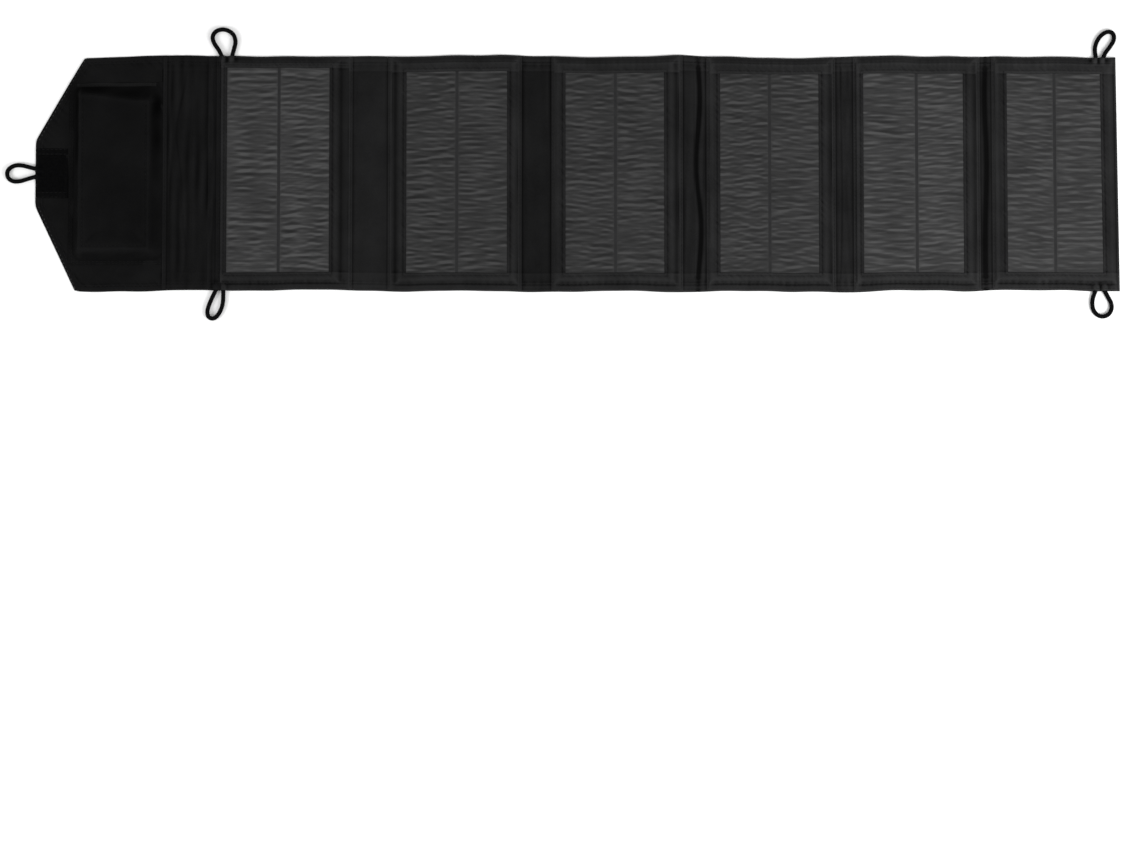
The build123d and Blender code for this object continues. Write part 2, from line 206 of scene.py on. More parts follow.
def braided_tube(name, line, walked, material):
    """A cord's round body with two sets of strands crossing over its surface."""
    along = np.gradient(line, axis=0)
    along /= np.linalg.norm(along, axis=1)[:, None]
    up = np.tile([0.0, 0.0, 1.0], (len(line), 1))
    side = np.cross(up, along)
    turn = np.linspace(0, 2 * math.pi, ring_sides, endpoint=False)
    lead = 2 * math.pi * walked[:, None] / braid_turn
    relief = np.cos(braid_strands * turn[None, :] + lead) * np.cos(braid_strands * turn[None, :] - lead)
    radius = cord_radius - braid_depth * (0.5 - 0.5 * relief)
    rings = line[:, None, :] + radius[..., None] * (
        np.cos(turn)[None, :, None] * side[:, None, :] + np.sin(turn)[None, :, None] * up[:, None, :]
    )
    return make_piece(name, rings.reshape(-1, 3), tube_faces(len(line), ring_sides), [material], sharp=70)


def own_place(tree):
    """Each point's place in the blanket's own frame."""
    return add_node(tree, "ShaderNodeTexCoord").outputs["Object"]


def noise(tree, place, scale, detail, roughness=0.5):
    """Uneven spots from 0 to 1, smaller as the scale grows."""
    inputs = {"Vector": place, "Scale": scale, "Detail": detail, "Roughness": roughness}
    return add_node(tree, "ShaderNodeTexNoise", inputs).outputs["Fac"]


def colour_by(tree, value, *steps):
    """The colour that a value picks, from pairs of a position and a colour."""
    lookup = add_node(tree, "ShaderNodeValToRGB", {"Fac": value})
    marks = lookup.color_ramp.elements
    marks[0].position = steps[0][0]
    marks[1].position = steps[-1][0]
    for position, _ in steps[1:-1]:
        marks.new(position)
    for mark, (_, colour) in zip(marks, steps):
        mark.color = (*colour, 1)
    return lookup.outputs["Color"]


def give_surface(tree, shader, colour, height, strength, depth):
    """Joins a colour and a fine relief to a surface shader."""
    tree.links.new(colour, shader.inputs["Base Color"])
    bump = add_node(tree, "ShaderNodeBump", {"Height": height, "Strength": strength, "Distance": depth})
    tree.links.new(bump.outputs["Normal"], shader.inputs["Normal"])


cord_finish, cord_tree, cord_shader = new_finish(
    "braided_elastic", Roughness=0.8, Sheen_Weight=0.005, Sheen_Roughness=0.5, Specular_IOR_Level=0.02
)
fuzz = noise(cord_tree, own_place(cord_tree), 2600, 3)
cord_black = colour_by(cord_tree, fuzz, (0, (0.0008, 0.0008, 0.0009)), (1, (0.005, 0.005, 0.0053)))
give_surface(cord_tree, cord_shader, cord_black, fuzz, 0.5, 0.2 * mm)

for name, (body, (base_x, base_y), along, out, route) in loops.items():
    places = [
        (
            base_x + (along[0] * step + out[0] * reach) * mm,
            base_y + (along[1] * step + out[1] * reach) * mm,
            cord_radius,
        )
        for step, reach in route
    ]
    line, walked, length = smooth_line(name, places)
    loop = braided_tube(f"{name}_cord", line, walked, cord_finish)
    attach(loop, body)
    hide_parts(name)


# ---- Cloth and binding finishes ----
# The blanket is sewn from matt black plain-weave polyester with a coated back. The binding along its
# long edges is a closer, slightly shinier tape, and the seams are sewn with thick bonded thread.
fibre_scale = 1500
dye_scale = 22
# Painted light on the cloth: grooves are painted darker, as shade, and ridges paler, as highlight.
groove_shade = (0.18, 0.18, 0.18)
ridge_shade = (1.5, 1.5, 1.5)
# Painted light: the cloth's colour is scaled from darker at the flap end to brighter at the free end.
free_end_painted_light = {"From Min": -0.45, "From Max": 0.43, "To Min": 0.66, "To Max": 1.08}


def add_share(tree, value, share, rest):
    """A share of one value added to another."""
    inputs = {0: value, 1: share, 2: rest}
    return add_node(tree, "ShaderNodeMath", inputs, operation="MULTIPLY_ADD").outputs[0]


def woven_finish(name, dark, light, pitch, roughness, sheen):
    """Plain-weave cloth: crossing threads, uneven dye, a soft sheen, painted highlight on ridges and painted
    shade in grooves, and painted light that darkens the colour toward the flap end and brightens it toward
    the blanket's free end."""
    finish, tree, shader = new_finish(
        name, Roughness=roughness, Sheen_Weight=sheen, Sheen_Roughness=0.45, Specular_IOR_Level=0.025
    )
    place = own_place(tree)
    parts = add_node(tree, "ShaderNodeSeparateXYZ", {"Vector": place})
    waves = []
    for axis in ("X", "Y"):
        inputs = {0: parts.outputs[axis], 1: math.pi / pitch}
        turn = add_node(tree, "ShaderNodeMath", inputs, operation="MULTIPLY").outputs[0]
        waves.append(add_node(tree, "ShaderNodeMath", {0: turn}, operation="SINE").outputs[0])
    crossing = add_node(tree, "ShaderNodeMath", dict(enumerate(waves)), operation="MULTIPLY").outputs[0]
    fibre = noise(tree, place, fibre_scale, 2)
    dye = add_share(tree, fibre, 0.45, noise(tree, place, dye_scale, 5, roughness=0.6))
    colour = colour_by(tree, add_share(tree, crossing, 0.16, dye), (0.35, dark), (0.95, light))
    # The painted light level picks painted shade in grooves and a painted highlight on ridges.
    painted_light = add_node(tree, "ShaderNodeAttribute", attribute_name="painted_light").outputs["Fac"]
    painted_shading = colour_by(tree, painted_light, (0, groove_shade), (0.5, (1, 1, 1)), (1, ridge_shade))
    with_painted_light = add_node(
        tree, "ShaderNodeMix", {0: 1.0, 6: colour, 7: painted_shading}, data_type="RGBA", blend_type="MULTIPLY"
    ).outputs[2]
    # Painted light: colour scaled darker toward the flap end and brighter toward the free end.
    painted_light_by_x = add_node(tree, "ShaderNodeMapRange", {"Value": parts.outputs["X"], **free_end_painted_light})
    lit_toward_free_end = add_node(
        tree, "ShaderNodeVectorMath", {0: with_painted_light, "Scale": painted_light_by_x.outputs["Result"]}, operation="SCALE"
    )
    weave = add_share(tree, fibre, 0.5, crossing)
    give_surface(tree, shader, lit_toward_free_end.outputs["Vector"], weave, 0.45, 0.12 * mm)
    return finish


canvas = woven_finish(
    "plain_weave_canvas", (0.006, 0.006, 0.0061), (0.0165, 0.0165, 0.0168), pitch=0.55 * mm, roughness=0.8,
    sheen=0.01,
)
binding = woven_finish(
    "edge_binding", (0.008, 0.008, 0.0081), (0.0195, 0.0195, 0.0198), pitch=0.4 * mm, roughness=0.7,
    sheen=0.01,
)
thread = woven_finish(
    "bonded_thread", (0.006, 0.006, 0.0061), (0.0175, 0.0175, 0.0178), pitch=0.2 * mm, roughness=0.5,
    sheen=0.01,
)


# ---- Panel front cloths ----
# Each solar panel is faced by one black cloth with a window cut in it. The cloth's turned edge laps
# the clear film, a little more on some sides than on others. Its long edges are bound, and it is
# stitched round the window and along the hems.
cloth = 0.45 * mm
hem_height = 1.35 * mm
lip = 4 * mm
left_laps = (2.8, 4.0, 5.0, 5.4, 4.5, 7.0)
right_laps = (4.0, 4.2, 4.9, 4.6, 4.5, 6.2)
far_laps = (1.6, 5.0, 5.6, 6.2, 6.2, 6.0)
window_seam = 2.4 * mm
lap = 3.0 * mm
lap_over = 0.7 * mm
tuck_height = 0.8 * mm
band_reach = 4.4 * mm
binding_width = 7 * mm
binding_height = 0.28 * mm
binding_seam = binding_width - 1.4 * mm
fold_seam = 1.8 * mm
fold_radius = 1.5 * mm
fold_height = 0.35 * mm
end_seam = 2.2 * mm
end_clear = 2 * mm
grain = 0.75 * mm
turned_step = 0.3 * mm
window_drop = 0.2 * mm
panel_slack = 0.22 * mm
gather_height = 0.1 * mm
bulge_height = 2.5 * mm
bulge_width = 2.3 * mm
skewed_x = (0.392, 0.43)
stitch_swell = ((-1, 0.35), (-0.6, 1), (0, 1), (0.6, 1), (1, 0.35))
stitch_sides = 6


def stops(step, *places):
    """Grid lines through each place, spread evenly between neighbours no wider than the step."""
    lines = [places[0]]
    for low, high in zip(places, places[1:]):
        lines.extend(np.linspace(low, high, max(1, math.ceil((high - low) / step)) + 1)[1:])
    return np.array(lines)


def rise(value, low, high):
    """From 0 to 1, smoothly, as the value goes from low to high."""
    share = np.clip((value - low) / (high - low), 0, 1)
    return share * share * (3 - 2 * share)


def waver(x, y, pitch, seed, stretch=1.0):
    """Soft uneven waves, about one pitch apart, from about -1 to 1, longer along Y when stretched."""
    chance = np.random.default_rng(seed)
    total = np.zeros(np.broadcast(x, y).shape)
    for turn in chance.uniform(0, 2 * math.pi, 7):
        wave = 2 * math.pi / (pitch * chance.uniform(0.7, 1.5))
        total += np.sin(wave * (x * math.cos(turn) + y * math.sin(turn) / stretch) + chance.uniform(0, 6.3))
    return total / 3


def drift(x, y):
    """How far the slack long edges wander from straight."""
    far = 0.9 * mm * waver(x, 0 * x, 150 * mm, 3) + 0.3 * mm * waver(x, 0 * x, 40 * mm, 4)
    near = 0.8 * mm * waver(x, 0 * x, 130 * mm, 5) + 0.3 * mm * waver(x, 0 * x, 35 * mm, 6)
    share = np.clip(np.abs(y) / far_edge, 0, 1) ** 4
    return share * np.where(y > 0, far, near)


def skew(x, y):
    """How far the last panel's free edge was cut askew."""
    return -rise(x, *skewed_x) * (0.4 * mm + 0.8 * mm * y / far_edge)


def laid_out(x, y, height):
    """Places in the blanket's frame, with its slack long edges and its skewed free edge taken in."""
    return np.stack([x + skew(x, y), y + drift(x, y), height], axis=-1)


def outside(x, y, x_range, y_range):
    """How far places lie outside a rectangle, and less than 0 by how far they lie inside it."""
    return np.maximum.reduce([x_range[0] - x, x - x_range[1], y_range[0] - y, y - y_range[1]])


def cavity(height):
    """0.5 on level cloth, toward 1 on ridges and toward 0 in grooves, from a grid of heights."""
    level = np.full(height.shape, 0.5)
    for reach, depth in ((2, 0.9 * mm), (5, 1.5 * mm)):
        spread = np.pad(height, reach, mode="edge")
        for axis in (0, 1):
            rows = [np.arange(step, step + height.shape[axis]) for step in range(2 * reach + 1)]
            spread = sum(np.take(spread, row, axis=axis) for row in rows) / len(rows)
        level = level + (height - spread) / depth
    return np.clip(level, 0, 1)


def seam(distance, depth=0.24 * mm, spread=0.8 * mm):
    """How far a line pulls the cloth down or pushes it up, by the distance from it."""
    return depth * np.exp(-((distance / spread) ** 2))


def pucker(distance, along, seed):
    """Small gathers beside a line of stitches."""
    return gather_height * np.exp(-np.abs(distance) / (3 * mm)) * waver(along, 0 * along, 5 * mm, seed)


def rolled_edge(height, inward, radius=fold_radius, low=fold_height):
    """A height that rounds down to the low one at a folded edge."""
    fold = np.clip(inward / radius, 0, 1)
    return low + (height - low) * np.sqrt(1 - (1 - fold) ** 2)


def long_edges(x, y, height, seed):
    """A height with the two bound edges added: the tape, its two stitch lines and its rounded fold."""
    inward = far_edge - np.abs(y)
    tape = binding_height * (1 - rise(inward, binding_width - 0.25 * mm, binding_width + 0.25 * mm))
    height = height + tape - seam(inward - binding_seam) - seam(inward - fold_seam, 0.15 * mm)
    return rolled_edge(height + pucker(inward - binding_width, x, seed), inward)


def tucked_edge(height, inward, width=lap):
    """A height that drops along an edge of some width, where the next cloth laps it."""
    tucked = 1 - rise(inward, width - 0.8 * mm, width)
    return height * (1 - tucked) + np.minimum(height, tuck_height) * tucked


def across_lines(low, high):
    """Grid lines from one long edge to the other, close at the folds, and through two places between."""
    return stops(
        grain, near_edge, near_edge + 0.4 * mm, near_edge + 2 * mm, low, high, far_edge - 2 * mm,
        far_edge - 0.4 * mm, far_edge,
    )


def outline(x_low, x_high, y_low, y_high):
    """The four sides of a rectangle, as stitch runs."""
    long_runs = [((x_low, y_run), (x_high, y_run)) for y_run in (y_low, y_high)]
    return long_runs + [((x_run, y_low), (x_run, y_high)) for x_run in (x_low, x_high)]


def cord_bulge(x, y):
    """How far the cord ends lift the cloth where they are sewn into an edge, tapering inward."""
    lift = 0 * x
    for body, (base_x, base_y), along, out, route in loops.values():
        for step, reach in (route[0], route[-1]):
            across = np.abs((x - base_x) * along[0] + (y - base_y) * along[1] - step * mm)
            inward = -((x - base_x) * out[0] + (y - base_y) * out[1])
            swell = seam(across, bulge_height, bulge_width) * (1 - rise(inward, 1.5 * mm, 8 * mm))
            lift = np.maximum(lift, swell * rise(inward, -1 * mm, 0.3 * mm))
    return lift


def paint_light_on_piece(piece, painted_shading):
    """Notes on each of a piece's points its painted light level: below 0.5 painted shade, above it a painted
    highlight.
    """
    painted_light = piece.data.attributes.new("painted_light", "FLOAT", "POINT")
    painted_light.data.foreach_set("value", painted_shading.astype(np.float32))


def cloth_piece(name, x, y, top, under, materials, cut=None, paint=None, shade=0.0):
    """A closed sheet over a grid of places, from its top's and underside's heights. cut marks the cells left
    out and paint picks each cell's material. Each point carries a painted light level from its height,
    painted shade in grooves and a painted highlight on ridges, and shade is how much more painted shade each
    place gets than its height alone gives it."""
    columns, rows = x.shape
    index = np.arange(columns * rows).reshape(columns, rows)
    middle_x = (x[1:, 1:] + x[:-1, :-1]) / 2
    middle_y = (y[1:, 1:] + y[:-1, :-1]) / 2
    kept = np.ones((columns - 1, rows - 1), bool)
    if cut is not None:
        kept = ~cut(middle_x, middle_y)
    around = np.pad(kept, 1)
    quads = np.stack([index[:-1, :-1], index[1:, :-1], index[1:, 1:], index[:-1, 1:]], axis=-1)[kept]
    beneath = columns * rows
    sides = []
    borders = (
        (around[:-1, 1:-1], around[1:, 1:-1], index[:, :-1], index[:, 1:]),
        (around[1:-1, 1:], around[1:-1, :-1], index[:-1, :], index[1:, :]),
    )
    for before, after, first, second in borders:
        for chosen, one, two in ((after & ~before, first, second), (before & ~after, second, first)):
            sides.append(np.stack([one, two, two + beneath, one + beneath], axis=-1)[chosen])
    faces = np.concatenate([quads, quads[:, ::-1] + beneath, *sides])
    used, faces = np.unique(faces, return_inverse=True)
    places = np.concatenate([laid_out(x, y, level).reshape(-1, 3) for level in (top, under)])[used]
    piece = make_piece(name, places, faces.reshape(-1, 4), materials)
    # Painted light levels from the heights: painted shade in grooves and where shade adds it, painted
    # highlight on ridges.
    above = np.clip(cavity(top) - shade, 0, 1)
    paint_light_on_piece(piece, np.concatenate([above.ravel(), cavity(-under).ravel()])[used])
    if paint is not None:
        chosen = np.concatenate([paint(middle_x, middle_y)[kept]] * 2).astype(np.int32)
        slots = np.zeros(len(piece.data.polygons), np.int32)
        slots[: len(chosen)] = chosen
        piece.data.polygons.foreach_set("material_index", slots)
    return piece


def stitching(name, runs, height, body, length=2.4 * mm, gap=0.9 * mm, radius=0.17 * mm, finish=thread):
    """Rows of raised stitches. Each run is its two ends, and height gives the cloth's top there."""
    along, across, up = [], [], []
    for share, width in stitch_swell:
        for turn in np.linspace(0, 2 * math.pi, stitch_sides, endpoint=False):
            along.append(share * length / 2)
            across.append(width * radius * math.cos(turn))
            up.append(width * radius * math.sin(turn) + radius * (0.9 - 1.1 * share * share))
    shape = np.array([along, across, up])
    one_stitch = tube_faces(len(stitch_swell), stitch_sides)
    places, faces = [], []
    for (start_x, start_y), (end_x, end_y) in runs:
        reach = math.hypot(end_x - start_x, end_y - start_y)
        count = max(1, int(reach / (length + gap)))
        aim_x, aim_y = (end_x - start_x) / reach, (end_y - start_y) / reach
        for number in range(count):
            share = (number + 0.5) / count
            x = start_x + share * (end_x - start_x)
            y = start_y + share * (end_y - start_y)
            x_row = x + shape[0] * aim_x - shape[1] * aim_y
            y_row = y + shape[0] * aim_y + shape[1] * aim_x
            base = len(along) * len(places)
            faces.extend([corner + base for corner in face] for face in one_stitch)
            places.append(laid_out(x_row, y_row, height(x_row, y_row) + shape[2]))
    piece = make_piece(name, np.concatenate(places), faces, [finish], sharp=80)
    paint_light_on_piece(piece, np.full(len(piece.data.vertices), 0.5))
    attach(piece, body)
    return piece


def edge_shade(y):
    """How much painted shade darkens the rounded far edge, where it would lie in its own shade."""
    return 0.4 * (1 - rise(far_edge - y, 0.4 * mm, 1.6 * mm))


def double_rows(x_low, x_high):
    """The stitch runs along both long edges of a piece, on the binding and beside the fold."""
    rows = []
    for edge, inward in ((far_edge, -1), (near_edge, 1)):
        for depth in (fold_seam, binding_seam):
            rows.append(((x_low, edge + inward * depth), (x_high, edge + inward * depth)))
    return rows


for number in range(1, 7):
    edge_low, edge_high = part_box(f"panel_{number}_front_frame")
    film_low, film_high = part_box(f"panel_{number}_film")
    left = edge_low.x
    right = edge_high.x
    window_x = (film_low.x + left_laps[number - 1] * mm, film_high.x - right_laps[number - 1] * mm)
    window_y = (film_low.y + lip, film_high.y - far_laps[number - 1] * mm)
    tuck_left = band_reach if number == 1 else lap

    def front_height(x, y):
        """The cloth's top: over the laminate's edge, down to the hems, with a tape at each long side."""
        off_film = outside(x, y, (film_low.x, film_high.x), (film_low.y, film_high.y))
        height = hem_height + (edge_high.z - hem_height) * (1 - rise(off_film, 0.2 * mm, 6 * mm))
        beyond = np.maximum(y - window_y[1], window_y[0] - y)
        height = height + turned_step * rise(beyond, -0.3 * mm, 0.3 * mm)
        opening = outside(x, y, window_x, window_y)
        at_side = 1 - 0.7 * rise(beyond, -1 * mm, 1 * mm)
        height = height - window_drop * (1 - rise(opening, 0, 0.9 * mm))
        height = height - at_side * seam(opening - window_seam)
        height = height + pucker(opening - window_seam, x + y, 20 + number)
        slack = panel_slack * waver(x, y, 26 * mm, 40 + number, 2.5)
        height = height + slack * rise(opening, 2 * mm, 8 * mm)
        height = long_edges(x, y, height, 60 + number) + cord_bulge(x, y)
        height = tucked_edge(height, x - left, tuck_left)
        if number == 6:
            return rolled_edge(height - seam(right - x - end_seam), right - x)
        return tucked_edge(height, right - x)

    def is_window(x, y):
        return outside(x, y, window_x, window_y) < 0

    def is_tape(x, y):
        return (y > window_y[1]) | (y < window_y[0])

    x_lines = stops(grain, left, window_x[0] - 1 * mm, window_x[0], window_x[1], window_x[1] + 1 * mm, right)
    x, y = np.meshgrid(x_lines, across_lines(*window_y), indexing="ij")
    top = front_height(x, y)
    front = cloth_piece(
        f"panel_{number}_front_cloth", x, y, top, np.maximum(top - cloth, 0.3 * mm), [canvas, binding],
        cut=is_window, paint=is_tape, shade=edge_shade(y),
    )
    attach(front, f"panel_{number}")
    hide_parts(f"panel_{number}_front_frame")
    width, depth = right - left, far_edge - near_edge
    runs = double_rows(left + tuck_left + lap_over, right - (0 if number == 6 else lap + lap_over))
    runs += outline(
        window_x[0] - window_seam, window_x[1] + window_seam, window_y[0] - window_seam,
        window_y[1] + window_seam,
    )
    if number == 6:
        end_x = right - end_seam
        runs.append(((end_x, near_edge + end_clear), (end_x, far_edge - end_clear)))
    stitching(f"panel_{number}_stitching", runs, front_height, f"panel_{number}")


# ---- Clear films over the cells ----
# A satin clear film is laminated over each string of cells. It carries long shallow ripples across the panel,
# whose far-leaning sides are painted pale as streaks of highlight, and a sunk line where the two columns
# meet.
ripple_pitch = 5.6 * mm
ripple_height = 0.1 * mm
ripple_waves = 22
column_gap = 2.4 * mm
line_depth = 0.12 * mm
steepest_near = -0.26
steepest_far = 0.34
streak_stretch = (60, 520, 1)
streak_shades = (
    (0.42, 0.009, 0.0091), (0.66, 0.0195, 0.019695), (0.82, 0.035, 0.03535), (1.0, 0.070, 0.0705)
)


def film_finish(name, tone):
    """Satin film over near-black cells, with painted highlight where a ripple leans to the far side and
    painted shade between.
    """
    finish, tree, shader = new_finish(
        name, Roughness=0.45, Specular_IOR_Level=0.12, Coat_Weight=0.08, Coat_Roughness=0.35, Coat_IOR=1.4
    )
    place = own_place(tree)
    normal = add_node(tree, "ShaderNodeTexCoord").outputs["Normal"]
    facing = add_node(tree, "ShaderNodeSeparateXYZ", {"Vector": normal}).outputs["Y"]
    # Painted highlight: the colour turns pale where the surface leans toward the far side, as a lamp's glint
    # there would.
    lean = add_node(
        tree, "ShaderNodeMapRange", {"Value": facing, "From Min": steepest_near, "From Max": steepest_far}
    ).outputs["Result"]
    drawn_out = add_node(tree, "ShaderNodeMapping", {"Vector": place, "Scale": streak_stretch})
    streaked = add_share(tree, noise(tree, drawn_out.outputs["Vector"], 1, 4), 0.5, lean)
    clouded = add_share(tree, noise(tree, place, 30, 3), 0.25, streaked)
    steps = [(at, (grey * tone, grey * tone, blue * tone)) for at, grey, blue in streak_shades]
    colour = colour_by(tree, clouded, *steps)
    give_surface(tree, shader, colour, noise(tree, place, 900, 2), 0.15, 0.1 * mm)
    return finish


def line_finish():
    """The bare strip between the two columns of cells."""
    finish, tree, shader = new_finish("cell_column_gap", Roughness=0.5, Specular_IOR_Level=0.15)
    cloudy = noise(tree, own_place(tree), 160, 4)
    colour = colour_by(tree, cloudy, (0, (0.009, 0.009, 0.0094)), (1, (0.020, 0.020, 0.0205)))
    tree.links.new(colour, shader.inputs["Base Color"])
    return finish


film_tones = (0.88, 0.67, 0.66, 0.71, 0.88, 0.8)
line_shifts = (0, 0, 0.5, 0.5, 2.6, 0.6)
column_line = line_finish()
for number in range(1, 7):
    film_low, film_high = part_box(f"panel_{number}_film")
    middle_line = (film_low.x + film_high.x) / 2 + line_shifts[number - 1] * mm
    gap_low, gap_high = middle_line - column_gap / 2, middle_line + column_gap / 2
    x_lines = stops(
        1.2 * mm, film_low.x, gap_low - 0.5 * mm, gap_low, gap_high, gap_high + 0.5 * mm, film_high.x
    )
    y_lines = stops(0.8 * mm, film_low.y, film_high.y)
    x, y = np.meshgrid(x_lines, y_lines, indexing="ij")
    column = np.where(x > middle_line, 1, 0)
    ripple = 0 * x
    for which in (0, 1):
        chance = np.random.default_rng(100 + 10 * number + which)
        crossing = 0 * x
        for _ in range(ripple_waves):
            tilt = math.radians(chance.normal(0, 9))
            wave = 2 * math.pi / (ripple_pitch * chance.uniform(0.6, 1.6))
            crossing += np.sin(wave * (y * math.cos(tilt) + x * math.sin(tilt)) + chance.uniform(0, 6.3))
        ripple = np.where(column == which, crossing / 4.4, ripple)
    swell = 0.75 + 0.6 * waver(x, 3 * y, 16 * mm, 150 + number)
    from_middle = np.abs(x - middle_line)
    from_edge = -outside(x, y, (film_low.x, film_high.x), (film_low.y, film_high.y))
    calm = rise(from_middle, column_gap / 2, column_gap / 2 + 1.5 * mm)
    calm = calm * rise(from_edge, lip - 1 * mm, lip + 2 * mm)
    top = film_high.z + ripple_height * ripple * swell * calm - line_depth * (1 - calm)

    def is_gap(x, y):
        return np.abs(x - middle_line) < column_gap / 2

    film = cloth_piece(
        f"panel_{number}_film_sheet", x, y, top, np.full_like(top, film_low.z),
        [film_finish(f"rippled_clear_film_{number}", film_tones[number - 1]), column_line], paint=is_gap,
    )
    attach(film, f"panel_{number}")
    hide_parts(f"panel_{number}_film")


# ---- Panel back cloths ----
# A plain cloth closes each panel's back. Its edges are caught in the bound hems, and on panel 2 it
# carries the loop half of the closing patch.
back_grain = 2.2 * mm
back_margin = 0.5 * mm
patch_low, patch_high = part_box("panel_2_loop_patch")
for number in range(1, 7):
    edge_low, edge_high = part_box(f"panel_{number}_back_cover")
    left = edge_low.x + lap
    right = edge_high.x - (back_margin if number == 6 else lap)
    at_patch_x, at_patch_y = (), ()
    if number == 2:
        at_patch_x = (max(patch_low.x, left + 0.1 * mm), patch_high.x)
        at_patch_y = (patch_low.y, patch_high.y)
    x_lines = stops(back_grain, left, *at_patch_x, right)
    y_lines = stops(back_grain, near_edge + back_margin, *at_patch_y, far_edge - back_margin)
    x, y = np.meshgrid(x_lines, y_lines, indexing="ij")
    inward = far_edge - np.abs(y)
    sag = 0.12 * mm * (1 + waver(x, y, 30 * mm, 200 + number)) / 2
    under = np.clip(sag * rise(inward, 2 * mm, 10 * mm), 0, 0.2 * mm) + seam(inward - binding_seam)

    def is_patch(x, y):
        on_patch = outside(x, y, (patch_low.x, patch_high.x), (patch_low.y, patch_high.y)) < 0
        return on_patch & (number == 2)

    back = cloth_piece(
        f"panel_{number}_back_cloth", x, y, np.full_like(x, cloth), under, [canvas], cut=is_patch
    )
    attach(back, f"panel_{number}")
    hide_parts(f"panel_{number}_back_cover")


# ---- Cloth spines ----
# Between the stiff panels the front and back cloths are sewn to each other alone. Each spine folds along both
# edges, so it is made in two halves that each reach over one fold line and meet in its middle.
fold_gap = 0.3 * mm
bend_reach = 2.0 * mm
spine_height = 1.0 * mm
spine_limit = 1.65 * mm
allowance = 2.5 * mm
spine_grain = 0.6 * mm
band_start = 5.9 * mm
band_height = 0.3 * mm
lap_seam = 1.1 * mm
lap_step = 0.75 * mm
binding_step = 0.1 * mm
lining = woven_finish(
    "flap_cloth", (0.004, 0.004, 0.0041), (0.0098, 0.0098, 0.01), pitch=0.55 * mm, roughness=0.8,
    sheen=0.008,
)

# Each spine's slack, the pitch of its ridges, how much painted shade darkens it (a painted lightening below
# 0), and its creases. A crease has its place as a share of the spine's width, its depth and its spread.
spine_looks = {
    0: (0.45 * mm, 7 * mm, -0.05, [(0.3, 0.12 * mm, 1.2 * mm)]),
    1: (0.12 * mm, 16 * mm, -0.02, []),
    2: (0.1 * mm, 12 * mm, 0.2, []),
    3: (0.15 * mm, 9 * mm, 0.08, [(0.68, 0.7 * mm, 2.2 * mm)]),
    4: (0.1 * mm, 7 * mm, 0.04, [(0.3, 0.14 * mm, 0.9 * mm)]),
    5: (0.05 * mm, 6 * mm, 0.05, [(0.5, 0.75 * mm, 2.6 * mm)]),
}
neighbours = {0: ("flap", "panel_1")}
neighbours.update({place: (f"panel_{place}", f"panel_{place + 1}") for place in range(1, 6)})
window_low, window_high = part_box("panel_1_film")
tape_low, tape_high = window_low.y + lip, window_high.y - lip

